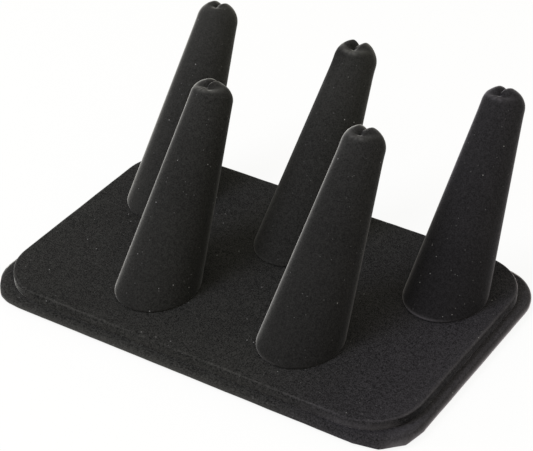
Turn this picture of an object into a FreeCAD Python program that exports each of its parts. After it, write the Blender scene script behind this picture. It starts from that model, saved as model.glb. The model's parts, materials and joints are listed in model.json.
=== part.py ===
import FreeCAD, Part
import Sketcher
import math
import os
import re

# Ring display stand: a two-tier velvet-covered base with five leaning fingers.
# Millimetres. X runs along the base, +Y to the rear, +Z up.
# The origin is the middle of the underside.

OUTPUT_FOLDER = "parts"

SIZES = {
    # Lower tier
    "base_length": 170.0,
    "base_width": 108.3,
    "base_corner": 17.0,
    "base_board_thickness": 3.4,
    "base_top_round": 1.5,
    "base_under_round": 1.2,
    # Upper tier
    "ledge_ends": 3.4,
    "ledge_sides": 2.4,
    "riser_corner": 20.0,
    "riser_board_thickness": 3.4,
    "riser_top_round": 1.2,
    # Velvet and the felt sheet below
    "velvet": 0.6,
    "turned_margin": 8.0,
    "lining_thickness": 0.5,
    "lining_inset": 3.0,
    # Fingers
    "finger_length": 74.7,
    "foot_radius": 14.45,
    "tip_radius": 7.62,
    "finger_lean": 33.0,
    "foot_round": 0.9,
    "foot_margin": 4.0,
    "end_inset": 26.2,
    "row_inset": 30.2,
    # How far the hand-set fingers stand off their marks, and each one's turn to the right in degrees
    "rows_offset": 1.6,
    "middle_offset": -2.3,
    "back_left_turn": -2.1,
    "back_middle_turn": 2.2,
    "back_right_turn": -1.1,
    "front_left_turn": -1.7,
    "front_right_turn": 1.4,
    # Gathered tip
    "tip_gather": 7.0,
    "core_top_round": 1.5,
    "kerf_width": 1.8,
    "kerf_depth": 8.0,
    "cleft_width": 4.0,
    "cleft_depth": 2.7,
    "cleft_floor_radius": 0.6,
    "cleft_lip_round": 0.7,
    "pucker_radius": 1.3,
    "pucker_drop": 3.7,
    "pucker_floor": 4.2,
    "crease_radius": 4.2,
    "crease_width": 0.7,
    "crease_span": 7.0,
    "crease_centre_drop": 0.8,
    "crease_floor": 5.7,
    # Screws
    "screw_radius": 1.75,
    "screw_head_radius": 3.5,
    "screw_length": 20.0,
    "screw_point": 3.0,
    "screw_clearance": 0.25,
}

# Where each finger stands, as formulas of the sizes: three behind, two in front of the gaps between them
PITCH = "(base_length / 2 - end_inset)"
ROW = "(base_width / 2 - row_inset)"
FINGERS = {
    "back_left": (f"rows_offset - {PITCH}", ROW),
    "back_middle": ("rows_offset + middle_offset", ROW),
    "back_right": (f"rows_offset + {PITCH}", ROW),
    "front_left": (f"rows_offset - {PITCH} / 2", f"-{ROW}"),
    "front_right": (f"rows_offset + {PITCH} / 2", f"-{ROW}"),
}

# Levels above the floor, as formulas of the sizes
BASE_TOP = "(lining_thickness + base_board_thickness + velvet)"
RISER_TOP = "(lining_thickness + base_board_thickness + riser_board_thickness + 2 * velvet)"

# A finger is turned upright along +Z from this depth below its foot, then cut at the lean
STOCK_DROP = "(foot_radius * (1 + tan(finger_lean)))"
TAPER = "((foot_radius - tip_radius) / (finger_length - tip_radius))"
CORE_TOP = "(finger_length - tip_gather)"
CUT_REACH = "(2 * foot_radius)"

# How a sketch numbers its own origin and upright axis, and the points of a line or an arc
ORIGIN_POINT, SKETCH_Y_AXIS = range(-1, -3, -1)
START, END, CENTRE = range(1, 4)

# Two lengths this close are the same
SAME = 1e-4

document = FreeCAD.newDocument("ring_display_stand")
sheet = document.addObject("Spreadsheet::Sheet", "Sizes")
for row, (alias, size) in enumerate(SIZES.items(), start=1):
    sheet.set(f"A{row}", alias.replace("_", " "))
    sheet.set(f"B{row}", str(size))
    sheet.setAlias(f"B{row}", alias)
document.recompute()


def bound(formula):
    """Turn a formula of the sizes into an expression that reads the sheet."""
    def cell(word):
        name = word.group()
        return f"Sizes.{name}" if name in SIZES else name
    return re.sub(r"[a-z_]+", cell, formula)


def number(formula):
    """The present value of a formula of the sizes."""
    return float(sheet.evalExpression(bound(formula)))


def bind(thing, path, formula):
    thing.setExpression(path, bound(formula))


def origin_plane(body, role):
    return next(plane for plane in body.Origin.OriginFeatures if plane.Role == role)


def new_sketch(body, name, role, level="0"):
    """A sketch on one of the body's origin planes, lifted along the plane's normal."""
    sketch = body.newObject("Sketcher::SketchObject", name)
    sketch.AttachmentSupport = [(origin_plane(body, role), "")]
    sketch.MapMode = "FlatFace"
    bind(sketch, "AttachmentOffset.Base.z", level)
    return sketch


def constrain(sketch, kind, *places, formula=None):
    """Add one constraint, bound to a formula where it has a size."""
    if formula is None:
        return sketch.addConstraint(Sketcher.Constraint(kind, *places))
    index = sketch.addConstraint(Sketcher.Constraint(kind, *places, number(formula)))
    bind(sketch, f"Constraints[{index}]", formula)
    return index


def line(sketch, start, end):
    return sketch.addGeometry(Part.LineSegment(FreeCAD.Vector(*start, 0), FreeCAD.Vector(*end, 0)))


def arc(sketch, centre, radius, start_degrees, end_degrees):
    whole = Part.Circle(FreeCAD.Vector(*centre, 0), FreeCAD.Vector(0, 0, 1), radius)
    angles = math.radians(start_degrees), math.radians(end_degrees)
    return sketch.addGeometry(Part.ArcOfCircle(whole, *angles))


def place_point(sketch, shape, end, x, y):
    """Hold one point of the sketch at formulas of the sizes."""
    constrain(sketch, "DistanceX", ORIGIN_POINT, START, shape, end, formula=x)
    constrain(sketch, "DistanceY", ORIGIN_POINT, START, shape, end, formula=y)


def circle(sketch, x, y, radius):
    """Circle whose centre and radius are formulas."""
    centre = FreeCAD.Vector(number(x), number(y), 0)
    ring = sketch.addGeometry(Part.Circle(centre, FreeCAD.Vector(0, 0, 1), number(radius)))
    place_point(sketch, ring, CENTRE, x, y)
    constrain(sketch, "Radius", ring, formula=radius)


def polygon(sketch, corners):
    """Closed straight outline whose corners are pairs of formulas."""
    points = [(number(x), number(y)) for x, y in corners]
    sides = [line(sketch, point, points[(k + 1) % len(points)]) for k, point in enumerate(points)]
    for k, side in enumerate(sides):
        constrain(sketch, "Coincident", side, END, sides[(k + 1) % len(sides)], START)
        place_point(sketch, side, START, *corners[k])


def rounded_rectangle(sketch, length, width, corner):
    """Rectangle about the origin with four equal round corners."""
    x = number(length) / 2
    y = number(width) / 2
    r = number(corner)
    outline = [
        line(sketch, (r - x, -y), (x - r, -y)),
        arc(sketch, (x - r, r - y), r, 270, 360),
        line(sketch, (x, r - y), (x, y - r)),
        arc(sketch, (x - r, y - r), r, 0, 90),
        line(sketch, (x - r, y), (r - x, y)),
        arc(sketch, (r - x, y - r), r, 90, 180),
        line(sketch, (-x, y - r), (-x, r - y)),
        arc(sketch, (r - x, r - y), r, 180, 270),
    ]
    front, right_front, right, right_back, back, left_back, left, left_front = outline
    for k, piece in enumerate(outline):
        constrain(sketch, "Tangent", piece, END, outline[(k + 1) % len(outline)], START)
    for side in (front, back):
        constrain(sketch, "Horizontal", side)
    for side in (left, right):
        constrain(sketch, "Vertical", side)
    for other in (right_back, left_back, left_front):
        constrain(sketch, "Equal", right_front, other)
    constrain(sketch, "Symmetric", right_front, CENTRE, left_back, CENTRE, ORIGIN_POINT, START)
    constrain(sketch, "DistanceX", left, START, right, START, formula=length)
    constrain(sketch, "DistanceY", front, START, back, START, formula=width)
    constrain(sketch, "Radius", right_front, formula=corner)


def pad(body, sketch, length):
    feature = body.newObject("PartDesign::Pad", f"{sketch.Name}_pad")
    feature.Profile = sketch
    bind(feature, "Length", length)
    document.recompute()
    return feature


def remove_material(feature):
    """Recompute a cutting feature and make sure that it did cut."""
    before = feature.BaseFeature.Shape.Volume
    document.recompute()
    if feature.Shape.Volume >= before:
        raise RuntimeError(f"{feature.Name} cuts nothing")
    return feature


def pocket(body, sketch, length, along_normal=False, symmetric=False):
    feature = body.newObject("PartDesign::Pocket", f"{sketch.Name}_pocket")
    feature.Profile = sketch
    feature.Reversed = along_normal
    feature.SideType = "Symmetric" if symmetric else "One side"
    bind(feature, "Length", length)
    return remove_material(feature)


def revolve(body, sketch):
    """Full turn of a profile about the sketch's upright axis."""
    feature = body.newObject("PartDesign::Revolution", f"{sketch.Name}_turn")
    feature.Profile = sketch
    feature.ReferenceAxis = (sketch, ["V_Axis"])
    feature.Angle = 360
    document.recompute()
    return feature


def round_edges(body, name, radius, wanted):
    """Fillet the edges of the body's present shape that the test picks."""
    base = body.Tip
    edges = [f"Edge{k}" for k, edge in enumerate(base.Shape.Edges, start=1) if wanted(edge)]
    feature = body.newObject("PartDesign::Fillet", name)
    feature.Base = (base, edges)
    bind(feature, "Radius", radius)
    document.recompute()
    return feature


def ends_of(edge):
    return [edge.valueAt(p) for p in edge.ParameterRange]


def lies_flat_at(edge, height):
    """True for an edge that lies in the level plane at this height."""
    return all(abs(point.z - height) < SAME for point in ends_of(edge))


def rim_at(height, length, width):
    """Test for the edges at a level that run within the velvet's thickness of an outline."""
    level = number(height)
    side_x = number(f"{length} / 2 - 1.5 * velvet")
    side_y = number(f"{width} / 2 - 1.5 * velvet")

    def wanted(edge):
        on_outline = all(abs(point.x) > side_x or abs(point.y) > side_y for point in ends_of(edge))
        return on_outline and lies_flat_at(edge, level)
    return wanted


def bore_holes(body, level, depth, radius):
    """One upright hole under each finger, from a level down through the given depth."""
    sketch = new_sketch(body, f"{body.Name}_holes", "XY_Plane", level)
    for x, y in FINGERS.values():
        circle(sketch, x, y, radius)
    return pocket(body, sketch, depth)


def wrapped_board(name, bottom, thickness, length, width, corner, top_round, under_round):
    """Board with a step round its underside that takes the velvet's turned margin."""
    body = document.addObject("PartDesign::Body", name)
    top = f"({bottom} + {thickness})"
    outline = new_sketch(body, f"{name}_outline", "XY_Plane", bottom)
    rounded_rectangle(outline, f"{length} - 2 * velvet", f"{width} - 2 * velvet", f"{corner} - velvet")
    pad(body, outline, thickness)
    round_edges(body, f"{name}_top_edge", f"{top_round} - velvet", rim_at(top, length, width))
    step = new_sketch(body, f"{name}_step", "XY_Plane", f"{bottom} + velvet")
    rounded_rectangle(step, f"{length} + 2 * velvet", f"{width} + 2 * velvet", f"{corner} + velvet")
    rounded_rectangle(step, f"{length} - 2 * turned_margin", f"{width} - 2 * turned_margin",
                      f"{corner} - turned_margin")
    pocket(body, step, "2 * velvet")
    if under_round:
        round_edges(body, f"{name}_under_edge", f"{under_round} - velvet",
                    rim_at(f"{bottom} + velvet", length, width))
    bore_holes(body, top, f"{thickness}", "screw_radius + screw_clearance")
    return body


def velvet_wrap(name, bottom, thickness, length, width, corner, top_round, under_round):
    """Velvet skin over a board, its margin turned under, with a hole for each screw."""
    body = document.addObject("PartDesign::Body", name)
    board_top = f"({bottom} + {thickness})"
    top = f"({bottom} + {thickness} + velvet)"
    outline = new_sketch(body, f"{name}_outline", "XY_Plane", bottom)
    rounded_rectangle(outline, length, width, corner)
    pad(body, outline, f"{thickness} + velvet")
    round_edges(body, f"{name}_top_edge", top_round, rim_at(top, length, width))
    if under_round:
        round_edges(body, f"{name}_under_edge", under_round, rim_at(bottom, length, width))
    inside = new_sketch(body, f"{name}_inside", "XY_Plane", board_top)
    rounded_rectangle(inside, f"{length} - 2 * velvet", f"{width} - 2 * velvet", f"{corner} - velvet")
    pocket(body, inside, f"{thickness} - velvet")
    round_edges(body, f"{name}_inside_top", f"{top_round} - velvet", rim_at(board_top, length, width))
    if under_round:
        round_edges(body, f"{name}_inside_under", f"{under_round} - velvet",
                    rim_at(f"{bottom} + velvet", length, width))
    opening = new_sketch(body, f"{name}_opening", "XY_Plane", f"{bottom} + velvet")
    rounded_rectangle(opening, f"{length} - 2 * turned_margin", f"{width} - 2 * turned_margin",
                      f"{corner} - turned_margin")
    pocket(body, opening, "velvet")
    bore_holes(body, top, "velvet", "screw_radius + screw_clearance")
    return body


def countersink(board):
    """Widen the holes at the board's underside to the cone of the screw heads."""
    hole_radius = number("screw_radius + screw_clearance")
    bottom = number("lining_thickness")

    def wanted(edge):
        round_hole = isinstance(edge.Curve, Part.Circle) and abs(edge.Curve.Radius - hole_radius) < SAME
        return round_hole and lies_flat_at(edge, bottom)
    base = board.Tip
    edges = [f"Edge{k}" for k, edge in enumerate(base.Shape.Edges, start=1) if wanted(edge)]
    feature = board.newObject("PartDesign::Chamfer", f"{board.Name}_countersinks")
    feature.Base = (base, edges)
    bind(feature, "Size", "screw_head_radius - screw_radius - screw_clearance")
    return remove_material(feature)


def lining():
    """Felt sheet that covers the turned margin and the screw heads."""
    body = document.addObject("PartDesign::Body", "underside_lining")
    outline = new_sketch(body, "lining_outline", "XY_Plane")
    rounded_rectangle(outline, "base_length - 2 * lining_inset", "base_width - 2 * lining_inset",
                      "base_corner - lining_inset")
    pad(body, outline, "lining_thickness")
    return body


def lean_and_place(thing, place):
    """Tip a finger back about its foot, give it its turn and stand it on the riser."""
    x, y = FINGERS[place]
    turn = f"rotationz(-{place}_turn) * rotationx(-finger_lean)"
    bind(thing, "Placement", f"placement(vector({x}; {y}; {RISER_TOP}); {turn})")


def cut_foot(body):
    """Cut the upright stock along the riser's top, which it meets at the lean."""
    side_view = new_sketch(body, f"{body.Name}_foot", "YZ_Plane")
    slope = f"{CUT_REACH} * tan(finger_lean)"
    polygon(side_view, [
        (f"-{CUT_REACH}", f"-{slope}"),
        (f"-{CUT_REACH}", f"-{slope} - 2 * {STOCK_DROP}"),
        (CUT_REACH, f"-{slope} - 2 * {STOCK_DROP}"),
        (CUT_REACH, slope),
    ])
    pocket(body, side_view, f"2 * {CUT_REACH}", symmetric=True)


def tilt_to_riser(sketch):
    """Turn a sketch on the level plane of an upright finger to face along the riser's top."""
    sketch.AttachmentOffset = FreeCAD.Placement(
        FreeCAD.Vector(), FreeCAD.Rotation(FreeCAD.Vector(1, 0, 0), 30))
    bind(sketch, "AttachmentOffset.Rotation.Angle", "finger_lean")


def bore_pilot(body):
    """Hole for the screw, upright once the finger leans."""
    pilot = new_sketch(body, f"{body.Name}_pilot", "XY_Plane")
    tilt_to_riser(pilot)
    circle(pilot, "0", "0", "screw_radius")
    pocket(body, pilot, f"screw_length + lining_thickness - {RISER_TOP}", along_normal=True)


def finger_core(place):
    """Turned wooden cone with a flat top, a saw kerf across it and a pilot hole in its foot."""
    body = document.addObject("PartDesign::Body", f"finger_core_{place}")
    name = body.Name
    profile = new_sketch(body, f"{name}_profile", "XZ_Plane")
    polygon(profile, [
        ("0", f"-{STOCK_DROP}"),
        (f"foot_radius - velvet + {STOCK_DROP} * {TAPER}", f"-{STOCK_DROP}"),
        (f"foot_radius - velvet - {CORE_TOP} * {TAPER}", CORE_TOP),
        ("0", CORE_TOP),
    ])
    revolve(body, profile)
    top = number(CORE_TOP)
    round_edges(body, f"{name}_top_edge", "core_top_round", lambda edge: lies_flat_at(edge, top))
    cut_foot(body)

    kerf = new_sketch(body, f"{name}_kerf", "XZ_Plane")
    polygon(kerf, [
        ("-kerf_width / 2", f"{CORE_TOP} - kerf_depth"),
        ("kerf_width / 2", f"{CORE_TOP} - kerf_depth"),
        ("kerf_width / 2", "finger_length"),
        ("-kerf_width / 2", "finger_length"),
    ])
    pocket(body, kerf, "2 * foot_radius", symmetric=True)

    step = new_sketch(body, f"{name}_step", "XY_Plane")
    tilt_to_riser(step)
    circle(step, "0", "0", "foot_radius - foot_margin")
    circle(step, "0", "0", "3 * foot_radius")
    pocket(body, step, "velvet", along_normal=True)
    bore_pilot(body)
    lean_and_place(body, place)
    return body


def cleft_profile(sketch):
    """V with a round floor, open at the top."""
    half = number("cleft_width") / 2
    over = number("finger_length + cleft_lip_round")
    floor_radius = number("cleft_floor_radius")
    floor_height = number("finger_length - cleft_depth + cleft_floor_radius")
    left = line(sketch, (-half, over), (-floor_radius, floor_height))
    floor = arc(sketch, (0, floor_height), floor_radius, 190, 350)
    right = line(sketch, (floor_radius, floor_height), (half, over))
    lid = line(sketch, (half, over), (-half, over))
    constrain(sketch, "Tangent", left, END, floor, START)
    constrain(sketch, "Tangent", floor, END, right, START)
    constrain(sketch, "Coincident", right, END, lid, START)
    constrain(sketch, "Coincident", lid, END, left, START)
    constrain(sketch, "PointOnObject", floor, CENTRE, SKETCH_Y_AXIS)
    constrain(sketch, "Symmetric", left, START, right, END, SKETCH_Y_AXIS)
    constrain(sketch, "Radius", floor, formula="cleft_floor_radius")
    constrain(sketch, "DistanceX", left, START, right, END, formula="cleft_width")
    constrain(sketch, "DistanceY", ORIGIN_POINT, START, floor, CENTRE,
              formula="finger_length - cleft_depth + cleft_floor_radius")
    constrain(sketch, "DistanceY", ORIGIN_POINT, START, left, START,
              formula="finger_length + cleft_lip_round")


def crease_profile(sketch):
    """Band of an arc below the tip, where the front of the sleeve folds in."""
    centre = (0, number("finger_length - crease_centre_drop"))
    inner_radius = number("crease_radius - crease_width / 2")
    outer_radius = number("crease_radius + crease_width / 2")
    half_angle = math.degrees(math.asin(number("crease_span") / 2 / outer_radius))
    angles = (270 - half_angle, 270 + half_angle)
    ends = [math.radians(angle) for angle in angles]
    inner = arc(sketch, centre, inner_radius, *angles)
    outer = arc(sketch, centre, outer_radius, *angles)

    def on_circle(radius, angle):
        return centre[0] + radius * math.cos(angle), centre[1] + radius * math.sin(angle)
    left = line(sketch, on_circle(inner_radius, ends[0]), on_circle(outer_radius, ends[0]))
    right = line(sketch, on_circle(outer_radius, ends[1]), on_circle(inner_radius, ends[1]))
    constrain(sketch, "Coincident", inner, CENTRE, outer, CENTRE)
    constrain(sketch, "Coincident", inner, START, left, START)
    constrain(sketch, "Coincident", left, END, outer, START)
    constrain(sketch, "Coincident", outer, END, right, START)
    constrain(sketch, "Coincident", right, END, inner, END)
    constrain(sketch, "PointOnObject", inner, CENTRE, left)
    constrain(sketch, "PointOnObject", inner, CENTRE, right)
    constrain(sketch, "PointOnObject", inner, CENTRE, SKETCH_Y_AXIS)
    constrain(sketch, "Horizontal", outer, START, outer, END)
    constrain(sketch, "DistanceX", outer, START, outer, END, formula="crease_span")
    constrain(sketch, "DistanceY", ORIGIN_POINT, START, inner, CENTRE,
              formula="finger_length - crease_centre_drop")
    constrain(sketch, "Radius", inner, formula="crease_radius - crease_width / 2")
    constrain(sketch, "Radius", outer, formula="crease_radius + crease_width / 2")


def sleeve_form(place):
    """Outer form of the velvet sleeve: a cone with a domed tip, gathered into a cleft."""
    body = document.addObject("PartDesign::Body", f"sleeve_form_{place}")
    name = body.Name
    profile = new_sketch(body, f"{name}_profile", "XZ_Plane")
    drop = number(STOCK_DROP)
    low_radius = number(f"foot_radius + {STOCK_DROP} * {TAPER}")
    length = number("finger_length")
    dome = number("tip_radius")
    bottom = line(profile, (0, -drop), (low_radius, -drop))
    flank = line(profile, (low_radius, -drop), (dome, length - dome))
    tip = arc(profile, (0, length - dome), dome, math.degrees(number(TAPER)), 90)
    axis = line(profile, (0, length), (0, -drop))
    constrain(profile, "Coincident", bottom, END, flank, START)
    constrain(profile, "Tangent", flank, END, tip, START)
    constrain(profile, "Coincident", tip, END, axis, START)
    constrain(profile, "Coincident", axis, END, bottom, START)
    constrain(profile, "Horizontal", bottom)
    constrain(profile, "PointOnObject", bottom, START, SKETCH_Y_AXIS)
    constrain(profile, "PointOnObject", tip, CENTRE, SKETCH_Y_AXIS)
    constrain(profile, "PointOnObject", tip, END, SKETCH_Y_AXIS)
    constrain(profile, "Radius", tip, formula="tip_radius")
    constrain(profile, "DistanceX", bottom, START, bottom, END,
              formula=f"foot_radius + {STOCK_DROP} * {TAPER}")
    constrain(profile, "DistanceY", ORIGIN_POINT, START, tip, END, formula="finger_length")
    constrain(profile, "DistanceY", bottom, START, ORIGIN_POINT, START, formula=STOCK_DROP)
    revolve(body, profile)
    cut_foot(body)
    lean = math.radians(number("finger_lean"))

    def on_foot_cut(edge):
        points = ends_of(edge) + [edge.CenterOfMass]
        return all(abs(p.z * math.cos(lean) - p.y * math.sin(lean)) < SAME for p in points)
    round_edges(body, f"{name}_foot_edge", "foot_round", on_foot_cut)

    cleft = new_sketch(body, f"{name}_cleft", "XZ_Plane")
    cleft_profile(cleft)
    pocket(body, cleft, "4 * tip_radius", symmetric=True)
    floor_level = number("finger_length - cleft_depth - cleft_floor_radius")

    def on_cleft_lip(edge):
        centre = edge.CenterOfMass
        along = abs(centre.y) < number("cleft_floor_radius") and abs(centre.x) > number("cleft_floor_radius")
        return centre.z > floor_level and along and not isinstance(edge.Curve, Part.Line)
    round_edges(body, f"{name}_cleft_lips", "cleft_lip_round", on_cleft_lip)

    pucker = new_sketch(body, f"{name}_pucker", "XZ_Plane", "pucker_floor")
    circle(pucker, "0", "finger_length - pucker_drop", "pucker_radius")
    pocket(body, pucker, "2 * tip_radius", along_normal=True)

    crease = new_sketch(body, f"{name}_crease", "XZ_Plane", "crease_floor")
    crease_profile(crease)
    pocket(body, crease, "2 * tip_radius", along_normal=True)
    bore_pilot(body)
    lean_and_place(body, place)
    return body


def finger_cover(place, form, core):
    """Velvet sleeve: its outer form less the core, so that its end fills the kerf."""
    cover = document.addObject("Part::Cut", f"finger_cover_{place}")
    cover.Base = form
    cover.Tool = core
    return cover


def screw(place):
    """Countersunk wood screw that holds a finger down, its head flush with the board's underside."""
    body = document.addObject("PartDesign::Body", f"screw_{place}")
    profile = new_sketch(body, f"screw_{place}_profile", "XZ_Plane")
    polygon(profile, [
        ("0", "0"),
        ("screw_head_radius", "0"),
        ("screw_radius", "screw_head_radius - screw_radius"),
        ("screw_radius", "screw_length - screw_point"),
        ("0", "screw_length"),
    ])
    revolve(body, profile)
    x, y = FINGERS[place]
    bind(body, "Placement", f"placement(vector({x}; {y}; lining_thickness); rotationz(0))")
    return body


lower_tier = ("lining_thickness", "base_board_thickness", "base_length", "base_width", "base_corner",
              "base_top_round", "base_under_round")
upper_tier = (BASE_TOP, "riser_board_thickness", "(base_length - 2 * ledge_ends)",
              "(base_width - 2 * ledge_sides)", "riser_corner", "riser_top_round", None)

nodes = [lining()]
base_board = wrapped_board("base_board", *lower_tier)
countersink(base_board)
nodes += [base_board, velvet_wrap("base_cover", *lower_tier)]
nodes += [wrapped_board("riser_board", *upper_tier), velvet_wrap("riser_cover", *upper_tier)]

for place in FINGERS:
    core = finger_core(place)
    nodes += [core, finger_cover(place, sleeve_form(place), core)]

screws = document.addObject("Part::Compound", "finger_screws")
screws.Links = [screw(place) for place in FINGERS]
nodes.append(screws)

document.recompute()

for thing in document.Objects:
    if "Invalid" in thing.State or "Error" in thing.State:
        raise RuntimeError(f"{thing.Name} did not recompute: {thing.State}")

os.makedirs(OUTPUT_FOLDER, exist_ok=True)
for node in nodes:
    node.Label = node.Name
    shape = node.Shape
    if shape.isNull() or not shape.isValid():
        raise RuntimeError(f"{node.Label} has no valid shape")
    shape.exportStep(os.path.join(OUTPUT_FOLDER, f"{node.Label}.step"))
    print(f"{node.Label}: {len(shape.Solids)} solid, {shape.Volume / 1000:.2f} cm3")
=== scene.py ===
import json
import math

import bmesh
import bpy
import numpy as np
from mathutils import Matrix, Vector, noise

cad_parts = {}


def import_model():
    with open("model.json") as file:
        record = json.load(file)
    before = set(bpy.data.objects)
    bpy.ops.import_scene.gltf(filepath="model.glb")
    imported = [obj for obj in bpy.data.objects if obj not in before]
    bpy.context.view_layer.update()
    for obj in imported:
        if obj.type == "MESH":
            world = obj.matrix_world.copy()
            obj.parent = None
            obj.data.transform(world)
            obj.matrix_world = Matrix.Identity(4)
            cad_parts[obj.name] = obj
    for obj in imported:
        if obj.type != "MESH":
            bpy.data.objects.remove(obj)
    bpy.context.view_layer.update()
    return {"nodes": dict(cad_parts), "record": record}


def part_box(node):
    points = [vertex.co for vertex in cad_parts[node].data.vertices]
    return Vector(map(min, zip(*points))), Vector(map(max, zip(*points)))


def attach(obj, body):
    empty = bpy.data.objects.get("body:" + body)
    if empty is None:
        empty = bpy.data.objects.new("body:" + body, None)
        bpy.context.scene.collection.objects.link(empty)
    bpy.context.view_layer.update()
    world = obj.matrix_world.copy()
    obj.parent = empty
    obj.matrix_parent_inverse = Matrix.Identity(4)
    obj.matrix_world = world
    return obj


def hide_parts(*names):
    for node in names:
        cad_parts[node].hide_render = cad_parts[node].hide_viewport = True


# Ring display stand: the velvet, felt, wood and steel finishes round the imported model.
# Shapes are worked out in millimetres and written to the meshes in metres.

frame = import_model()

MM = 0.001
BODY = "root"

VELVET = 0.6
TURNED_MARGIN = 8.0

# Plates
BASE_CORNER = 17.0
RISER_CORNER = 20.0
BASE_TOP_ROUND = 2.3
BASE_UNDER_ROUND = 1.2
RISER_TOP_ROUND = 1.2
RISER_UNDER_ROUND = 0.2
LINING_INSET = 3.0
PLATE_MESH_STEP = 1.5
LUMP_HEIGHT = 0.10
LUMP_SIZE = 11.0

# How light each plate's cloth looks: its plain tone, what brushing adds at both ends and at the front right,
# the painted highlight along the rim, and the painted light that the wall adds. The wall's painted light
# grows by the shares for the front right corner, the right half and the right end. Then painted light on the
# ledge inside the front rim where the crease is in shade, the painted light that all cloth gains at the right
# end, the share the wall loses to painted shade at the right end and the share it loses at the left end, and
# the painted shadow along its lowest edge. The highlight line lies this far in from the rim and below the
# top.
RIM_LINE = 0.35
BASE_TONES = {
    "plain": 1.15, "brushed": 0.1, "rim": 0.0, "wall": 1.6,
    "front_right": 0.0, "right_half": -0.45, "right_end": 1.8,
    "crease": 0.2, "end_light": 0.4, "right_wall_shade": 0.0, "left_wall_loss": 0.0, "foot_shadow": 0.8,
}
RISER_TONES = {
    "plain": 1.0, "brushed": 0.14, "rim": 1.0, "wall": 0.45,
    "front_right": 4.5, "right_half": 0.0, "right_end": 0.0,
    "crease": 0.0, "end_light": 0.0, "right_wall_shade": 0.65, "left_wall_loss": 0.6, "foot_shadow": 0.0,
}

# Folds of the cloth round the base's front corners: the heading of each in degrees and how far it stands out
CORNER_FOLDS = [(-59, 0.68), (-29, 0.58), (205, -0.3), (222, 0.0), (238, 0.55), (252, 0.3)]

# Fingers
FINGER_LENGTH = 74.7
FOOT_RADIUS = 14.45
TIP_RADIUS = 7.62
FOOT_ROUND = 0.5
FOOT_MARGIN = 4.0
TIP_GATHER = 7.0
SLEEVE_COLUMNS = 168
FLANK_ROWS = 76
DOME_ROWS = 58

PLACES = ("back_left", "back_middle", "back_right", "front_left", "front_right")

# Gathered tip: a cleft across the top with a lobe on each side, a pucker at its front end, a dimple at its
# rear end, and a fold whose lip runs round the pucker in a flattened arc
CLEFT_HALF = 2.3
CLEFT_DEPTH = 1.4
LOBE_APART = 2.4
PUCKER_REACH = 1.4
DIMPLE_BEHIND = 6.6
DIMPLE_BELOW = 4.2
DIMPLE_DEPTH = 0.7
DIMPLE_REACH = 1.3
ARC_CENTRE_BELOW = 0.8
ARC_FLATTENED = 0.72
ARC_HALF_SPAN = math.radians(72)
FOLD_STEP = 0.4
LIP_HEIGHT = 0.25
PLEATS = 7
PLEAT_HEIGHT = 0.07

# How each finger's cloth was gathered by hand: the cleft's turn in degrees and its shift to the right, how
# full the whole tip is, the height of the lobes on both sides of the cleft, the depth of the pucker and the
# phase of the small pleats round it, and the fold's tilt in degrees, how far its lip is below the top, and
# how strong the painted highlight on that lip is
GATHERS = {
    "back_left": dict(turn=2, shift=-0.2, full=0.1, left_lobe=0.2, right_lobe=0.1, pucker=0.4,
                      pleat_phase=0.4, fold_tilt=8, lip_below=3.2, lip_highlight=0.4),
    "back_middle": dict(turn=10, shift=-0.3, full=0.35, left_lobe=0.7, right_lobe=0.8, pucker=0.4,
                        pleat_phase=2.1, fold_tilt=-4, lip_below=4.0, lip_highlight=2.2),
    "back_right": dict(turn=2, shift=-0.7, full=0.16, left_lobe=-0.1, right_lobe=-0.3, pucker=0.5,
                       pleat_phase=3.7, fold_tilt=-8, lip_below=4.8, lip_highlight=1.7),
    "front_left": dict(turn=-6, shift=0.0, full=0.05, left_lobe=-0.4, right_lobe=-0.95, pucker=0.6,
                       pleat_phase=5.0, fold_tilt=12, lip_below=4.6, lip_highlight=2.6),
    "front_right": dict(turn=6, shift=-0.8, full=0.2, left_lobe=0.25, right_lobe=0.1, pucker=0.6,
                        pleat_phase=1.2, fold_tilt=4, lip_below=4.2, lip_highlight=2.2),
}

# How light each finger's cloth is: on the whole, the painted highlight it gains down its left edge, the share
# it loses to painted shadow low down, and where a painted highlight shows along its seam at the foot: heading
# in degrees, reach to each side, and gain
PILES = {
    "back_left": dict(whole=1.26, left_edge_highlight=0.35, low_shadow=0.0, seam_at=225, seam_reach=14, seam_highlight=2.0),
    "back_middle": dict(whole=1.17, left_edge_highlight=-0.9, low_shadow=0.0, seam_at=250, seam_reach=30, seam_highlight=0.8),
    "back_right": dict(whole=0.95, left_edge_highlight=0.0, low_shadow=0.25, seam_at=255, seam_reach=36, seam_highlight=4.0),
    "front_left": dict(whole=0.96, left_edge_highlight=0.5, low_shadow=0.0, seam_at=225, seam_reach=20, seam_highlight=2.0),
    "front_right": dict(whole=0.84, left_edge_highlight=1.0, low_shadow=0.05, seam_at=240, seam_reach=30, seam_highlight=1.6),
}

# Headings of a finger's two edges as the light meets them, and the shares of tone that painted light adds
# towards the tip and that painted shade takes down the right edge, at the seam and in the cleft
LEFT_EDGE = 208
RIGHT_EDGE = 27
TIP_LIGHT = 0.22
RIGHT_EDGE_SHADE = 0.88
SEAM_SHADE = 0.35
CLEFT_SHADE = 0.35


def span(node):
    """Lowest and highest corner of a CAD node, in millimetres."""
    return [np.array(corner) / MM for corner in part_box(node)]


def smooth(x, low, high):
    """0 below low, 1 above high, and a smooth rise between."""
    t = np.clip((x - low) / (high - low), 0, 1)
    return t * t * (3 - 2 * t)


def hump(x, middle, width):
    return np.exp(-((x - middle) / width) ** 2)


def towards(heading, middle, width):
    """1 at one heading in degrees and falling off to both sides of it."""
    return hump((heading - middle + 180) % 360 - 180, 0, width)


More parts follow.
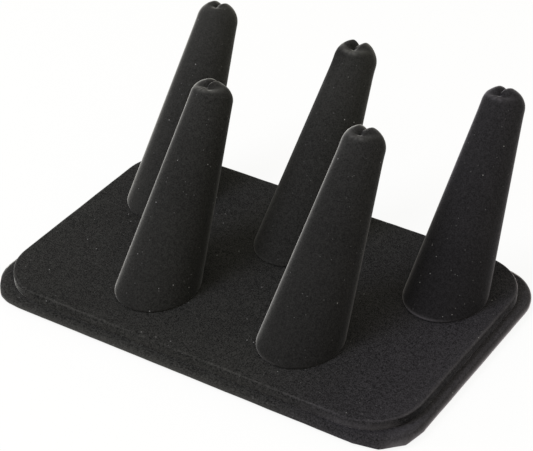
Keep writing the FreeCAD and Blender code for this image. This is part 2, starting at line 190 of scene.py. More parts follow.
def new_piece(name, vertices, faces, material, replaced, nap_and_light=None):
    """A smooth-shaded mesh piece in the place of CAD nodes, with how light its cloth looks at each vertex,
    painted light and shade included.
    """
    mesh = bpy.data.meshes.new(name)
    mesh.from_pydata((np.asarray(vertices) * MM).tolist(), [], faces)
    if nap_and_light is not None:
        mesh.attributes.new("nap_and_light", "FLOAT", "POINT").data.foreach_set("value", nap_and_light)
    work = bmesh.new()
    work.from_mesh(mesh)
    bmesh.ops.remove_doubles(work, verts=work.verts, dist=1e-7)
    bmesh.ops.recalc_face_normals(work, faces=work.faces)
    work.to_mesh(mesh)
    work.free()
    mesh.shade_smooth()
    mesh.materials.append(material)
    piece = bpy.data.objects.new(name, mesh)
    bpy.context.scene.collection.objects.link(piece)
    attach(piece, BODY)
    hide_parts(*replaced)
    return piece


def ring_faces(rows, columns):
    """Quads between closed rings of vertices that follow each other."""
    return [
        (r * columns + c, r * columns + (c + 1) % columns,
         (r + 1) * columns + (c + 1) % columns, (r + 1) * columns + c)
        for r in range(rows - 1) for c in range(columns)
    ]


def arc_points(centre, radius, start_degrees, end_degrees, count):
    angles = np.radians(np.linspace(start_degrees, end_degrees, count))
    return [(centre[0] + radius * math.cos(a), centre[1] + radius * math.sin(a)) for a in angles]


# Plates


class Outline:
    """A rounded rectangle seen from above, as points that can be drawn in by any inset up to the corner."""

    def __init__(self, length, width, corner):
        self.corner = corner
        self.half_x = length / 2 - corner
        self.half_y = width / 2 - corner
        self.steps_x = round(2 * self.half_x / PLATE_MESH_STEP)
        self.steps_y = round(2 * self.half_y / PLATE_MESH_STEP)
        steps_round = round(math.pi / 2 * corner / PLATE_MESH_STEP)
        feet, ways = [], []
        sides = [((-1, -1), (1, -1), -90, self.steps_x), ((1, -1), (1, 1), 0, self.steps_y),
                 ((1, 1), (-1, 1), 90, self.steps_x), ((-1, 1), (-1, -1), 180, self.steps_y)]
        size = np.array([self.half_x, self.half_y])
        for start, end, heading, steps in sides:
            for t in np.linspace(0, 1, steps + 1)[:-1]:
                feet.append(size * ((1 - t) * np.array(start) + t * np.array(end)))
                ways.append(heading)
            for t in np.linspace(0, 1, steps_round + 1)[:-1]:
                feet.append(size * np.array(end))
                ways.append(heading + 90 * t)
        self.feet = np.array(feet)
        self.ways = np.radians(ways)

    def folded(self, reach, share):
        """Reach in each column where the front corners run straight from fold to fold instead of round."""
        knots = sorted(CORNER_FOLDS + [(side, 0) for side in (-90, 0, 90, 180, 270)])
        ways, out = np.radians([k[0] for k in knots]), np.array([k[1] for k in knots])
        after = np.clip(np.searchsorted(ways, self.ways, side="right"), 1, len(ways) - 1)
        low, high = ways[after - 1], ways[after]
        first, second = reach + out[after - 1], reach + out[after]
        run = first * second * np.sin(high - low)
        run /= first * np.sin(self.ways - low) + second * np.sin(high - self.ways)
        return np.where(np.sin(self.ways) < -1e-6, reach + share * (run - reach), reach)

    def ring(self, inset, height, folds=0.0):
        reach = self.folded(self.corner - inset, folds) if folds else self.corner - inset
        x = self.feet[:, 0] + reach * np.cos(self.ways)
        y = self.feet[:, 1] + reach * np.sin(self.ways)
        return np.column_stack([x, y, np.full_like(x, height)])

    def sheet(self, height):
        """The rectangle between the corner centres as a grid, with its faces."""
        xs = np.linspace(-self.half_x, self.half_x, self.steps_x + 1)
        ys = np.linspace(-self.half_y, self.half_y, self.steps_y + 1)
        grid = np.array([(x, y, height) for y in ys for x in xs])
        wide = len(xs)
        faces = [(r * wide + c, r * wide + c + 1, (r + 1) * wide + c + 1, (r + 1) * wide + c)
                 for r in range(self.steps_y) for c in range(self.steps_x)]
        return grid, faces


def lumpy(points, height, seed):
    """Shift points along Z by soft noise, as cloth that isn't dead flat."""
    moved = points.copy()
    offset = Vector((seed, seed, seed))
    moved[:, 2] += [height * noise.fractal(Vector(p) / LUMP_SIZE + offset, 0.7, 2.2, 3) for p in points]
    return moved


def slowly_uneven(points, seed):
    """From about 0.4 to 1.3, changing slowly from place to place."""
    offset = Vector((seed, 2 * seed, 0))
    return np.array([0.85 + 0.9 * noise.noise(Vector(p) / 17 + offset) for p in points])


def plate_nap_and_light(points, profile, columns, top, seed, tones):
    """How light a plate's cloth looks at each point, from the tones of that plate, with its painted
    highlight, painted light and painted shade.
    """
    inset, level = (np.repeat(column, columns) for column in np.array(profile).T)
    x, y = points[:, 0], points[:, 1]
    below = top - level
    # An oval at the front right and a band at each end
    patch = hump(x, 62, 45) * hump(y, -22, 42) + 1.6 * hump(x, -90, 14) + 2.2 * hump(x, 84, 12)
    right_end = smooth(x, 76, 81)
    # Painted highlight along the rim, uneven along its length and wider at the right end
    rim = hump(np.hypot(inset - RIM_LINE, below - RIM_LINE), 0, 0.3 + 0.25 * right_end)
    nap_and_light = tones["plain"] + tones["brushed"] * patch * (inset > 0.8)
    nap_and_light += tones["rim"] * rim * (slowly_uneven(points, seed) + right_end)
    nap_and_light *= 1 - tones["left_wall_loss"] * smooth(-x, 68, 78) * smooth(below, 0.0, 0.6)
    # Painted light on the wall, growing towards its foot and changed by the shares for the front right
    # corner, the right half and the right end
    painted_wall_light = 1 + tones["front_right"] * smooth(x, 45, 72) * (1 - smooth(x, 76, 80))
    painted_wall_light += tones["right_half"] * smooth(x, -10, 50) + tones["right_end"] * right_end
    nap_and_light += tones["wall"] * painted_wall_light * smooth(below, 0.0, 3.4)
    # Painted light on the front ledge a little in from the rim, where the crease by the riser is in shade
    nap_and_light += tones["crease"] * hump(inset, 2.6, 1.0) * smooth(-y, 30, 45)
    # At the right end: painted light on all the cloth, and painted shade on the wall below its rounded top
    nap_and_light *= 1 + right_end * (tones["end_light"] - tones["right_wall_shade"] * smooth(below, 0.5, 1.2))
    # Painted shadow along the lowest edge
    return nap_and_light * (1 - tones["foot_shadow"] * smooth(below, 3.3, 3.8))


def plate_skin(name, node, corner, top_round, under_round, seed, material, folds, tones):
    """Velvet over a board: top, rounded rim, wall, and a margin turned under."""
    low, high = span(node)
    outline = Outline(high[0] - low[0], high[1] - low[1], corner)
    bottom, top = low[2], high[2]
    flat = [(outline.corner * t, top) for t in np.linspace(1, 0, 12)]
    outside = [place for place in flat if place[0] > top_round]
    outside += arc_points((top_round, top - top_round), top_round, 90, 180, 9)
    outside += [(0, z) for z in np.linspace(top - top_round, bottom + under_round, 5)[1:-1]]
    outside += arc_points((under_round, bottom + under_round), under_round, 180, 270, 8)
    outside += [(x, bottom) for x in np.linspace(2, TURNED_MARGIN, 4)]
    inside = [(TURNED_MARGIN, bottom + VELVET), (VELVET, bottom + VELVET), (VELVET, top - VELVET),
              (outline.corner, top - VELVET)]
    shares = [folds * smooth(top - z, 0.3, 2.2) * (1 - smooth(x, 2, TURNED_MARGIN)) for x, z in outside]
    rings = [outline.ring(x, z, share) for (x, z), share in zip(outside, shares)]
    rings = [lumpy(ring, LUMP_HEIGHT, seed) if ring[0, 2] > bottom + 0.1 else ring for ring in rings]
    rings = np.vstack(rings + [outline.ring(x, z) for x, z in inside])
    columns = len(outline.feet)
    faces = ring_faces(len(outside) + len(inside), columns)
    vertices = [rings]
    nap_and_light = [plate_nap_and_light(rings, outside + inside, columns, top, seed, tones)]
    for level, lump_height in ((top, LUMP_HEIGHT), (top - VELVET, 0)):
        grid, grid_faces = outline.sheet(level)
        start = sum(len(v) for v in vertices)
        vertices.append(lumpy(grid, lump_height, seed))
        nap_and_light.append(plate_nap_and_light(grid, [(outline.corner, top)], len(grid), top, seed, tones))
        faces += [tuple(start + i for i in face) for face in grid_faces]
    piece = new_piece(name, np.vstack(vertices), faces, material, [node], np.concatenate(nap_and_light))


def felt_lining(material):
    """Felt sheet under the base, its cut edge a little rounded."""
    low, high = span("underside_lining")
    outline = Outline(high[0] - low[0], high[1] - low[1], BASE_CORNER - LINING_INSET)
    thick = high[2] - low[2]
    profile = [(outline.corner, 0.0), (8, 0.0), (2, 0.0), (0.3, 0.0), (0.0, 0.2), (0.0, thick - 0.1),
               (0.1, thick), (2, thick), (outline.corner, thick)]
    rings = np.vstack([outline.ring(x, z) for x, z in profile])
    faces = ring_faces(len(profile), len(outline.feet))
    vertices = [rings]
    for level in (0.0, thick):
        grid, grid_faces = outline.sheet(level)
        start = sum(len(v) for v in vertices)
        vertices.append(grid)
        faces += [tuple(start + i for i in face) for face in grid_faces]
    piece = new_piece("felt_lining", np.vstack(vertices), faces, material, ["underside_lining"])


# Fingers

# The flank runs straight from the foot's rim to where it touches the dome: its slope is how much narrower
# the finger gets with each millimetre along it
DOME_CENTRE = FINGER_LENGTH - TIP_RADIUS
TANGENT = math.sqrt(FOOT_RADIUS ** 2 + DOME_CENTRE ** 2 - TIP_RADIUS ** 2)
SLOPE = (FOOT_RADIUS * DOME_CENTRE - TIP_RADIUS * TANGENT) / (DOME_CENTRE ** 2 - TIP_RADIUS ** 2)


def finger_axes():
    """Foot centre and direction of each finger, from the ring seats of the record."""
    top = span("riser_cover")[1][2]
    axes = {}
    for mount in frame["record"]["mounts"]:
        for place in PLACES:
            if mount["name"] == f"ring_seat_{place}":
                way = np.array(mount["axis"])
                seat = np.array(mount["pos_m"]) / MM
                axes[place] = (seat - way * (seat[2] - top) / way[2], way)
    return axes


def fillet(corner, first, second, radius, count):
    """Arc that rounds a corner between two unit directions, one such arc per column."""
    cosine = np.sum(first * second, axis=-1)
    half = np.arccos(cosine) / 2
    middle = first + second
    middle /= np.linalg.norm(middle, axis=-1, keepdims=True)
    centre = corner + middle * (radius / np.sin(half))[:, None]
    start = corner + first * (radius / np.tan(half))[:, None] - centre
    end = corner + second * (radius / np.tan(half))[:, None] - centre
    sweep = math.pi - 2 * half
    return [centre + (start * np.sin((1 - t) * sweep)[:, None] + end * np.sin(t * sweep)[:, None])
            / np.sin(sweep)[:, None] for t in np.linspace(0, 1, count)]


def gathered(points, turn, shift, full, left_lobe, right_lobe, pucker, pleat_phase,
             fold_tilt, lip_below, lip_highlight):
    """Draw the domed tip into its cleft, pucker and fold, and find the painted highlight on the fold's lip
    and the painted shade in the cleft.
    """
    turn = math.radians(turn)
    x, y, z = points.T
    centre = np.column_stack([0 * x, 0 * x, np.minimum(z, DOME_CENTRE)])
    outward = points - centre
    outward /= np.maximum(np.linalg.norm(outward, axis=1, keepdims=True), 1e-9)
    across = x * math.cos(turn) + y * math.sin(turn) - shift
    along = y * math.cos(turn) - x * math.sin(turn)
    below = FINGER_LENGTH - z
    front = smooth(-along, 0.5, 3.0)
    back = smooth(along, 0.5, 3.0)

    wedge = np.clip(1 - np.abs(across) / CLEFT_HALF, 0, 1)
    fade = 1 - front * smooth(below, lip_below - 2.0, lip_below - 0.4) - back * smooth(below, 3.0, 6.0)
    fade = np.clip(fade, 0, 1)
    inward = CLEFT_DEPTH * wedge ** 1.3 * fade

    deep = lip_below - 1.5
    ahead = -math.sqrt(TIP_RADIUS ** 2 - (TIP_RADIUS - deep) ** 2)
    gap = np.sqrt((across / 1.5) ** 2 + (along - ahead) ** 2 + (below - deep) ** 2)
    inward += pucker * hump(gap, 0, PUCKER_REACH)
    rear_gap = np.sqrt(across ** 2 + (along - DIMPLE_BEHIND) ** 2 + (below - DIMPLE_BELOW) ** 2)
    inward += DIMPLE_DEPTH * hump(rear_gap, 0, DIMPLE_REACH)

    sideways, down = ARC_FLATTENED * across, below - ARC_CENTRE_BELOW
    swing = np.clip((np.arctan2(sideways, down) - math.radians(fold_tilt)) / ARC_HALF_SPAN, -1, 1)
    fold = front * np.cos(swing * math.pi / 2) ** 1.2
    past = np.hypot(sideways, down) - (lip_below - ARC_CENTRE_BELOW)
    step = smooth(-past, -0.7, 0.7) * (1 - smooth(-past, 0.8, 2.8))
    inward += fold * (FOLD_STEP * step - LIP_HEIGHT * hump(past, 0.8, 0.8))

    aside = np.abs(across)
    lobes = hump(aside, LOBE_APART, np.where(aside > LOBE_APART, 3.2, 1.3)) * (1 - smooth(below, 3.0, 6.5))
    inward -= lobes * np.where(across < 0, left_lobe, right_lobe) + full * hump(below, 4.5, 3.5)
    pleats = np.sin(PLEATS * np.arctan2(across, below - 3.6) + pleat_phase)
    inward += PLEAT_HEIGHT * pleats * hump(gap, 2.2, 1.1)
    # Painted highlight on the fold's lip, a little lighter on the pleats
    lit = lip_highlight * fold ** 0.7 * hump(past, 0.6, 0.8) * (1 + 0.3 * pleats)
    # Painted shade in the cleft
    lit -= CLEFT_SHADE * np.clip(1.6 * wedge, 0, 1) * fade
    return points - outward * inward[:, None], lit


def sleeve_rows(around, lean):
    """Radius and level in each column, row by row: the inner face down, then the outside up to the tip."""
    rise = np.sin(around) * math.tan(lean)

    def corner_at(radius, lift):
        """Where a cone of this foot radius meets the riser's top lifted by some height, in each column."""
        level = (radius * rise + lift) / (1 + SLOPE * rise)
        return np.column_stack([radius - SLOPE * level, level])

    inwards = np.column_stack([-np.ones_like(rise), -rise]) / np.sqrt(1 + rise ** 2)[:, None]
    upwards = np.tile(np.array([-SLOPE, 1]) / math.hypot(SLOPE, 1), (SLEEVE_COLUMNS, 1))
    corner = corner_at(FOOT_RADIUS, 0)
    rounding = fillet(corner, inwards, upwards, FOOT_ROUND, 9)
    margin_end = corner + inwards * FOOT_MARGIN
    slant = math.atan(SLOPE)
    dome_start = np.array([TIP_RADIUS * math.cos(slant), DOME_CENTRE + TIP_RADIUS * math.sin(slant)])
    shares = [0.004, 0.008] + list(np.linspace(0, 1, FLANK_ROWS)[1:])
    flank = [rounding[-1] * (1 - t) + dome_start * t for t in shares]
    dome = [np.tile((TIP_RADIUS * math.cos(a), DOME_CENTRE + TIP_RADIUS * math.sin(a)), (SLEEVE_COLUMNS, 1))
            for a in np.linspace(slant, math.pi / 2, DOME_ROWS)[1:]]
    outside = [margin_end, (margin_end + rounding[0]) / 2] + rounding + flank + dome

    lift = VELVET / math.cos(lean)
    core_radius = FOOT_RADIUS - VELVET * math.hypot(SLOPE, 1)
    core_top = FINGER_LENGTH - TIP_GATHER
    inner_foot = corner_at(core_radius, lift)
    inner_top = np.tile((core_radius - SLOPE * core_top, core_top), (SLEEVE_COLUMNS, 1))
    inside = [np.tile((1e-9, core_top), (SLEEVE_COLUMNS, 1)), inner_top * (0.5, 1)]
    inside += [inner_top * (1 - t) + inner_foot * t for t in np.linspace(0, 1, 9)]
    inside += [margin_end + (0, lift)]
    return inside, outside


def sleeve_nap_and_light(heading, level, rows_up, lit, whole, left_edge_highlight, low_shadow, seam_at, seam_reach, seam_highlight):
    """How light a sleeve's cloth looks, with painted light towards the tip, a painted highlight down the left
    edge and along the seam, and painted shade down the right edge, low down and at the seam, with its rows
    counted up from the turn of its foot margin.
    """
    # Painted light towards the tip, and painted shadow low down
    nap_and_light = 1 + TIP_LIGHT * smooth(level, 35, 70) - low_shadow * (1 - smooth(level, 8, 30))
    # Painted highlight down the left edge, wider near the tip
    nap_and_light *= 1 + left_edge_highlight * towards(heading, LEFT_EDGE, 24 + 20 * smooth(level, 56, 72))
    # Painted shade down the right edge
    nap_and_light *= 1 - RIGHT_EDGE_SHADE * towards(heading, RIGHT_EDGE, 18)
    # The painted highlight on the tip's lip and the painted shade in its cleft
    nap_and_light += lit
    # The whole finger's tone, and painted shade at the turn of the foot
    nap_and_light *= whole * (1 - SEAM_SHADE * hump(rows_up, 2, 2))
    # Painted highlight along the seam just above the foot, towards one heading
    return nap_and_light + seam_highlight * hump(rows_up, 7, 2.2) * towards(heading, seam_at, seam_reach)


def sleeve(place, foot, way, material):
    """Velvet sleeve: turned margin, rounded foot, tapering flank and gathered tip, with its inner face."""
    lean = math.acos(way[2])
    aside = math.atan2(way[0], way[1])
    around = np.linspace(0, 2 * math.pi, SLEEVE_COLUMNS, endpoint=False)
    inside, outside = sleeve_rows(around, lean)
    rows = inside + outside
    radius, level = np.concatenate(rows).T
    angle = np.tile(around, len(rows))
    points = np.column_stack([radius * np.cos(angle), radius * np.sin(angle), level])
    shown = np.arange(len(points)) >= len(inside) * SLEEVE_COLUMNS
    lit = np.zeros(len(points))
    points[shown], lit[shown] = gathered(points[shown], **GATHERS[place])
    rows_up = np.repeat(np.arange(len(rows)) - len(inside) - 2, SLEEVE_COLUMNS)
    nap_and_light = sleeve_nap_and_light(np.degrees(angle), level, rows_up, lit, **PILES[place])

    turn = Matrix.Rotation(-aside, 3, "Z") @ Matrix.Rotation(-lean, 3, "X")
    points = points @ np.array(turn).T + foot
    piece = new_piece(f"velvet_sleeve_{place}", points, ring_faces(len(rows), SLEEVE_COLUMNS), material,
                      [f"finger_cover_{place}"], nap_and_light)


# Materials


class Shader:
    """A node material with the principled shader, and short calls to add nodes to it."""

    def __init__(self, name):
        self.material = bpy.data.materials.new(name)
        self.material.use_nodes = True
        self.tree = self.material.node_tree
        self.surface = self.tree.nodes["Principled BSDF"]
        self.place = self.node("ShaderNodeTexCoord").outputs["Object"]

    def node(self, kind, **settings):
        made = self.tree.nodes.new(kind)
        for key, value in settings.items():
            setattr(made, key, value)
        return made

    def link(self, source, socket):
        self.tree.links.new(source, socket)

    def noise(self, size, detail=2.0, roughness=0.5, stretch=(1, 1, 1), distortion=0.0, seed=0.0):
        """Noise from 0 to 1 whose features are about this many millimetres across."""
        mapping = self.node("ShaderNodeMapping")
        mapping.inputs["Scale"].default_value = [1 / s for s in stretch]
        mapping.inputs["Location"].default_value = (seed, seed, seed)
        self.link(self.place, mapping.inputs["Vector"])
        texture = self.node("ShaderNodeTexNoise")
        texture.inputs["Scale"].default_value = 1 / (size * MM)
        texture.inputs["Detail"].default_value = detail
        texture.inputs["Roughness"].default_value = roughness
        texture.inputs["Distortion"].default_value = distortion
        self.link(mapping.outputs["Vector"], texture.inputs["Vector"])
        return texture.outputs["Fac"]

    def remap(self, source, low, high, to_low=0.0, to_high=1.0):
        """Smoothly take a range of values to another."""
        node = self.node("ShaderNodeMapRange", interpolation_type="SMOOTHSTEP")
        values = (low, high, to_low, to_high)
        for key, value in zip(("From Min", "From Max", "To Min", "To Max"), values):
            node.inputs[key].default_value = value
        self.link(source, node.inputs["Value"])
        return node.outputs["Result"]

    def math(self, operation, first, second):
        node = self.node("ShaderNodeMath", operation=operation)
        for socket, value in zip(node.inputs, (first, second)):
            if isinstance(value, (int, float)):
                socket.default_value = value
            else:
                self.link(value, socket)
        return node.outputs[0]

    def colours(self, factor, *stops):
        """Colour ramp: stops are pairs of a position and a linear colour."""
        node = self.node("ShaderNodeValToRGB")
        ramp = node.color_ramp
        while len(ramp.elements) < len(stops):
            ramp.elements.new(1.0)
        for element, (position, colour) in zip(ramp.elements, stops):
            element.position = position
            element.color = (*colour, 1)
        self.link(factor, node.inputs["Fac"])
        return node.outputs["Color"]

    def bump(self, height, depth, strength, after=None):
        """Bump of this depth in millimetres, laid over another one if given."""
        node = self.node("ShaderNodeBump")
        node.inputs["Strength"].default_value = strength
        node.inputs["Distance"].default_value = depth * MM
        self.link(height, node.inputs["Height"])
        if after is not None:
            self.link(after, node.inputs["Normal"])
        return node.outputs["Normal"]

    def constants(self, **values):
        for key, value in values.items():
            self.surface.inputs[key.replace("_", " ")].default_value = value

    def done(self, colour, normal=None, roughness=None):
        self.link(colour, self.surface.inputs["Base Color"])
        if normal is not None:
            self.link(normal, self.surface.inputs["Normal"])
        if roughness is not None:
            self.link(roughness, self.surface.inputs["Roughness"])
        return self.material


def lint(shader, colour, cell, reach, share, tone, seed, stretch=1.0, turn=(0, 0, 0)):
    """Lay pale specks on a colour: one at most in each cell, drawn out along one way to make a fibre."""
    mapping = shader.node("ShaderNodeMapping", vector_type="TEXTURE")
    mapping.inputs["Location"].default_value = (seed, seed, seed)
    mapping.inputs["Rotation"].default_value = [math.radians(angle) for angle in turn]
    mapping.inputs["Scale"].default_value = (stretch, 1, 1)
    shader.link(shader.place, mapping.inputs["Vector"])
    cells = shader.node("ShaderNodeTexVoronoi", feature="F1")
    cells.inputs["Scale"].default_value = 1 / (cell * MM)
    shader.link(mapping.outputs["Vector"], cells.inputs["Vector"])
    near = shader.remap(cells.outputs["Distance"], 0.5 * reach / cell, reach / cell, 1.0, 0.0)
    pick = shader.node("ShaderNodeSeparateColor")
    shader.link(cells.outputs["Color"], pick.inputs["Color"])
    chosen = shader.math("LESS_THAN", pick.outputs["Red"], share)
    mix = shader.node("ShaderNodeMix", data_type="RGBA")
    shader.link(shader.math("MULTIPLY", near, chosen), mix.inputs["Factor"])
    shader.link(colour, mix.inputs["A"])
    mix.inputs["B"].default_value = tone
    return mix.outputs["Result"]


LINT_COLOUR = (0.24, 0.24, 0.25, 1)
FAINT_LINT_COLOUR = (0.085, 0.085, 0.088, 1)
LINT_KINDS = [
    dict(cell=3.0, reach=0.24, share=0.3, tone=LINT_COLOUR, seed=0.3),
    dict(cell=1.7, reach=0.22, share=0.25, tone=FAINT_LINT_COLOUR, seed=4.1),
    dict(cell=4.0, reach=0.17, share=0.4, tone=FAINT_LINT_COLOUR, seed=1.7, stretch=5.0, turn=(10, 20, 35)),
    dict(cell=4.0, reach=0.17, share=0.4, tone=FAINT_LINT_COLOUR, seed=2.9, stretch=4.0, turn=(40, -15, 110)),
]
PILE_COLOUR = (0.0158, 0.0157, 0.0155)
COOL_END_TINT = (0.98, 0.93, 1.10, 1)
# Gain and power of the painted sheen at grazing angles
PAINTED_SHEEN_GAIN = 27.0
PAINTED_SHEEN_POWER = 7.0


def velvet_material(name, seed, contrast, swirl, pile_reach, fine_reach):
    """Short black pile: its grain, faint brushed areas, a painted sheen that lightens it at grazing angles,
    and painted light and shade from the mesh's attribute, with a little lint.

    The shorter the reach of a noise round its middle, the harder its grain.
    """
    shader = Shader(name)
    dark, light = [tuple(c * (1 + side * contrast) for c in PILE_COLOUR) for side in (-1, 1)]
    fine = shader.noise(0.42, detail=1.0, roughness=0.6, seed=seed + 3)
    pile = shader.noise(1.1, detail=3.0, roughness=0.7, distortion=swirl, seed=seed)
    brushed = shader.noise(26, detail=2.0, roughness=0.55, distortion=0.6, seed=seed + 7)
    mottle = shader.remap(pile, 0.5 - pile_reach, 0.5 + pile_reach, 0.0, 0.4)
    mottle = shader.math("ADD", mottle, shader.remap(brushed, 0.35, 0.65, 0.0, 0.06))
    mottle = shader.math("ADD", mottle, shader.remap(fine, 0.5 - fine_reach, 0.5 + fine_reach, 0.0, 0.54))
    # Per-vertex attribute: the cloth's tone with its painted light and shade, which scales the colour
    nap_and_light = shader.node("ShaderNodeAttribute", attribute_name="nap_and_light")
    calm = shader.math("SUBTRACT", shader.math("MULTIPLY", nap_and_light.outputs["Fac"], 1.3), 0.5)
    calm = shader.math("MAXIMUM", calm, 1.0)
    mottle = shader.math("DIVIDE", shader.math("SUBTRACT", mottle, 0.5), calm)
    mottle = shader.math("ADD", mottle, 0.5)
    colour = shader.colours(mottle, (0.0, dark), (1.0, light))
    # Painted sheen: Layer Weight's facing lightens the colour towards grazing angles
    edge = shader.node("ShaderNodeLayerWeight")
    painted_sheen = shader.math("POWER", edge.outputs["Facing"], PAINTED_SHEEN_POWER)
    painted_sheen = shader.math("ADD", shader.math("MULTIPLY", painted_sheen, PAINTED_SHEEN_GAIN), 1.0)
    parts = shader.node("ShaderNodeSeparateXYZ")
    shader.link(shader.place, parts.inputs[0])
    tinted = shader.node("ShaderNodeMix", data_type="RGBA", blend_type="MULTIPLY")
    shader.link(shader.remap(parts.outputs["X"], 15 * MM, 75 * MM), tinted.inputs["Factor"])
    shader.link(colour, tinted.inputs["A"])
    tinted.inputs["B"].default_value = COOL_END_TINT
    scaled = shader.node("ShaderNodeVectorMath", operation="SCALE")
    shader.link(tinted.outputs["Result"], scaled.inputs[0])
    shader.link(shader.math("MULTIPLY", painted_sheen, nap_and_light.outputs["Fac"]), scaled.inputs["Scale"])
    specked = scaled.outputs[0]
    for kind in LINT_KINDS:
        specked = lint(shader, specked, **kind)
    normal = shader.bump(brushed, 1.2, 0.1)
    normal = shader.bump(pile, 0.16, 0.8, after=normal)
    shader.constants(Roughness=0.95, Specular_IOR_Level=0.12, Sheen_Weight=0.1, Sheen_Roughness=0.25,
                     Sheen_Tint=(0.85, 0.84, 0.90, 1))
    return shader.done(specked, normal)


def felt_material():
    """Pressed black felt with matted fibres."""
    shader = Shader("felt")
    matted = shader.noise(0.8, detail=5, roughness=0.75, stretch=(3, 1, 1), distortion=1.2)
    clumps = shader.noise(5, detail=2, seed=4)
    mottle = shader.math("ADD", shader.remap(matted, 0.3, 0.75, 0, 0.7),
                         shader.remap(clumps, 0.3, 0.7, 0, 0.3))
    colour = shader.colours(mottle, (0.0, (0.006, 0.006, 0.007)), (1.0, (0.045, 0.045, 0.048)))
    shader.constants(Roughness=0.95, Specular_IOR_Level=0.15, Sheen_Weight=0.25, Sheen_Roughness=0.5)
    return shader.done(colour, shader.bump(matted, 0.2, 0.8))


def fibreboard_material():
    """Medium-density board: fine pressed fibres, a little darker in flecks."""
    shader = Shader("fibreboard")
    fibres = shader.noise(0.7, detail=5, roughness=0.7, stretch=(2.5, 2.5, 1))
    flecks = shader.noise(2.2, detail=2, seed=2)
    mottle = shader.math("ADD", shader.remap(fibres, 0.3, 0.7, 0, 0.6),
                         shader.remap(flecks, 0.35, 0.7, 0, 0.4))
    colour = shader.colours(mottle, (0.0, (0.24, 0.155, 0.09)), (1.0, (0.44, 0.32, 0.21)))
    shader.constants(Roughness=0.8, Specular_IOR_Level=0.3)
    return shader.done(colour, shader.bump(fibres, 0.06, 0.6))


def core_wood_material():
    """Turned softwood: growth bands along the finger and fine tool marks across it."""
    shader = Shader("core_wood")
    bands = shader.node("ShaderNodeTexWave", wave_type="BANDS", bands_direction="X")
    bands.inputs["Scale"].default_value = 1 / (9 * MM)
    bands.inputs["Distortion"].default_value = 3.5
    bands.inputs["Detail"].default_value = 3.0
    shader.link(shader.place, bands.inputs["Vector"])
    pores = shader.noise(0.5, detail=3, stretch=(1, 1, 12))
    grain = shader.math("ADD", shader.remap(bands.outputs["Fac"], 0.1, 0.9, 0, 0.65),
                        shader.remap(pores, 0.35, 0.7, 0, 0.35))
    colour = shader.colours(grain, (0.0, (0.66, 0.50, 0.32)), (1.0, (0.42, 0.27, 0.14)))
    shader.constants(Roughness=0.6, Specular_IOR_Level=0.35)
    return shader.done(colour, shader.bump(pores, 0.05, 0.6))


def screw_steel_material():
    """Zinc-plated steel with a cloudy passivated finish."""
    shader = Shader("screw_steel")
    clouds = shader.noise(2.5, detail=3, seed=1)
    colour = shader.colours(clouds, (0.25, (0.52, 0.52, 0.55)), (0.75, (0.68, 0.68, 0.67)))
    shader.constants(Metallic=1.0)
    rough = shader.remap(clouds, 0.3, 0.7, 0.25, 0.42)
    return shader.done(colour, shader.bump(clouds, 0.03, 0.4), rough)


# Pieces

plate_velvet = velvet_material("plate_velvet", seed=0.0, contrast=1.0, swirl=1.2,
                               pile_reach=0.12, fine_reach=0.09)
finger_velvet = velvet_material("finger_velvet", seed=5.0, contrast=0.55, swirl=0.3,
                                pile_reach=0.2, fine_reach=0.14)
plate_skin("velvet_base", "base_cover", BASE_CORNER, BASE_TOP_ROUND, BASE_UNDER_ROUND, seed=3.0,
           material=plate_velvet, folds=1.0, tones=BASE_TONES)
plate_skin("velvet_riser", "riser_cover", RISER_CORNER, RISER_TOP_ROUND, RISER_UNDER_ROUND, seed=8.0,
           material=plate_velvet, folds=0.3, tones=RISER_TONES)
felt_lining(felt_material())
for place, (foot, way) in finger_axes().items():
    sleeve(place, foot, way, finger_velvet)

fibreboard = fibreboard_material()
core_wood = core_wood_material()
carried_over = {"base_board": fibreboard, "riser_board": fibreboard, "finger_screws": screw_steel_material()}
carried_over.update({f"finger_core_{place}": core_wood for place in PLACES})
for node, material in carried_over.items():
    mesh = frame["nodes"][node].data
    mesh.materials.clear()
    mesh.materials.append(material)

# Stage


def light_path_mix(tree, lit, seen, share):
    """Mix a lit shader with what the camera and mirrors see."""
    nodes = tree.nodes
    path = nodes.new("ShaderNodeLightPath")
    total = path.outputs["Is Camera Ray"]
    for name in ("Is Glossy Ray", "Is Transmission Ray"):
        add = nodes.new("ShaderNodeMath")
        add.operation = "MAXIMUM"
        tree.links.new(total, add.inputs[0])
        tree.links.new(path.outputs[name], add.inputs[1])
        total = add.outputs[0]
    scale = nodes.new("ShaderNodeMath")
    scale.operation = "MULTIPLY"
    scale.inputs[1].default_value = share
    tree.links.new(total, scale.inputs[0])
    mix = nodes.new("ShaderNodeMixShader")
    tree.links.new(scale.outputs[0], mix.inputs["Fac"])
    tree.links.new(lit.outputs[0], mix.inputs[1])
    tree.links.new(seen.outputs[0], mix.inputs[2])
    return mix


FLOOR_RADIUS = 3000.0
FLOOR_WHITE_SHARE = 0.9
WORLD_LIGHT = 0.8
WORLD_TINT = (1.0, 0.965, 0.78, 1)
KEY_TINT = (0.94, 0.96, 1.12)


def floor():
    mesh = bpy.data.meshes.new("floor")
    work = bmesh.new()
    bmesh.ops.create_circle(work, cap_ends=True, segments=96, radius=FLOOR_RADIUS * MM)
    work.to_mesh(mesh)
    work.free()
    piece = bpy.data.objects.new("floor", mesh)
    piece.location.z = -0.02 * MM
    bpy.context.scene.collection.objects.link(piece)
    material = bpy.data.materials.new("floor")
    material.use_nodes = True
    tree = material.node_tree
    tree.nodes.clear()
    lit = tree.nodes.new("ShaderNodeBsdfDiffuse")
    lit.inputs["Color"].default_value = (0.86, 0.86, 0.86, 1)
    seen = tree.nodes.new("ShaderNodeEmission")
    mix = light_path_mix(tree, lit, seen, FLOOR_WHITE_SHARE)
    tree.links.new(mix.outputs[0], tree.nodes.new("ShaderNodeOutputMaterial").inputs["Surface"])
    mesh.materials.append(material)


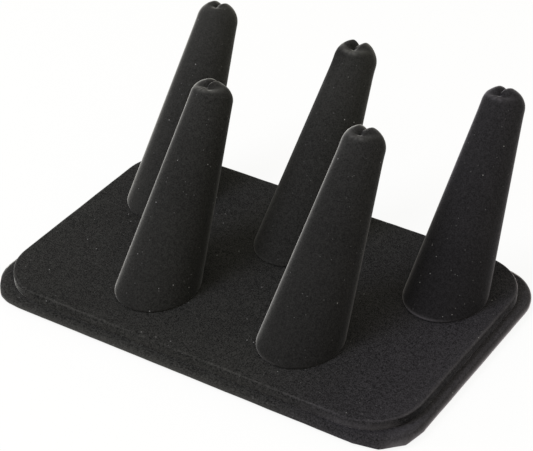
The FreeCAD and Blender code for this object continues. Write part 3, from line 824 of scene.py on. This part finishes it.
def world():
    made = bpy.data.worlds.new("studio")
    bpy.context.scene.world = made
    made.use_nodes = True
    tree = made.node_tree
    tree.nodes.clear()
    lit = tree.nodes.new("ShaderNodeBackground")
    lit.inputs["Color"].default_value = WORLD_TINT
    lit.inputs["Strength"].default_value = WORLD_LIGHT
    seen = tree.nodes.new("ShaderNodeBackground")
    seen.inputs["Color"].default_value = (1, 1, 1, 1)
    mix = light_path_mix(tree, lit, seen, 1.0)
    tree.links.new(mix.outputs[0], tree.nodes.new("ShaderNodeOutputWorld").inputs["Surface"])


# Camera, fitted to the outlines in the photo

IMAGE_WIDTH = 533
FOCAL_PIXELS = 1881.5
CAMERA_AZIMUTH = math.radians(32.91)
CAMERA_HEIGHT_ANGLE = math.radians(34.55)
CAMERA_ROLL = math.radians(-0.672)
CAMERA_DISTANCE = 655.65
CAMERA_TARGET = np.array([-0.30, 2.82, 27.48])


def camera_axes():
    """Right, up and forward of the view before its roll."""
    az, el = CAMERA_AZIMUTH, CAMERA_HEIGHT_ANGLE
    forward = Vector((-math.sin(az) * math.cos(el), math.cos(az) * math.cos(el), -math.sin(el)))
    right = Vector((math.cos(az), math.sin(az), 0))
    return right, right.cross(forward), forward


def camera():
    right, up, forward = camera_axes()
    data = bpy.data.cameras.new("camera")
    data.sensor_width = 36
    data.lens = FOCAL_PIXELS / IMAGE_WIDTH * data.sensor_width
    made = bpy.data.objects.new("camera", data)
    bpy.context.scene.collection.objects.link(made)
    c, s = math.cos(CAMERA_ROLL), math.sin(CAMERA_ROLL)
    axes = Matrix((c * right + s * up, c * up - s * right, -forward)).transposed()
    place = (Vector(CAMERA_TARGET) - forward * CAMERA_DISTANCE) * MM
    made.matrix_world = Matrix.Translation(place) @ axes.to_4x4()
    bpy.context.scene.camera = made


def softbox(name, sideways, backwards, height, size, power):
    """Square lamp aimed at the stand, placed in metres to the right of, behind and above it in the view."""
    right, _, forward = camera_axes()
    behind = Vector((forward.x, forward.y, 0)).normalized()
    data = bpy.data.lights.new(name, "AREA")
    data.shape = "SQUARE"
    data.size = size
    data.energy = power
    data.color = KEY_TINT
    lamp = bpy.data.objects.new(name, data)
    bpy.context.scene.collection.objects.link(lamp)
    lamp.location = right * sideways + behind * backwards + Vector((0, 0, height))
    lamp.rotation_euler = (Vector(CAMERA_TARGET) * MM - lamp.location).to_track_quat("-Z", "Y").to_euler()


floor()
world()
camera()
softbox("key_light", sideways=-0.52, backwards=-0.18, height=0.78, size=0.4, power=4.5)

bpy.context.scene.view_settings.view_transform = "Standard"
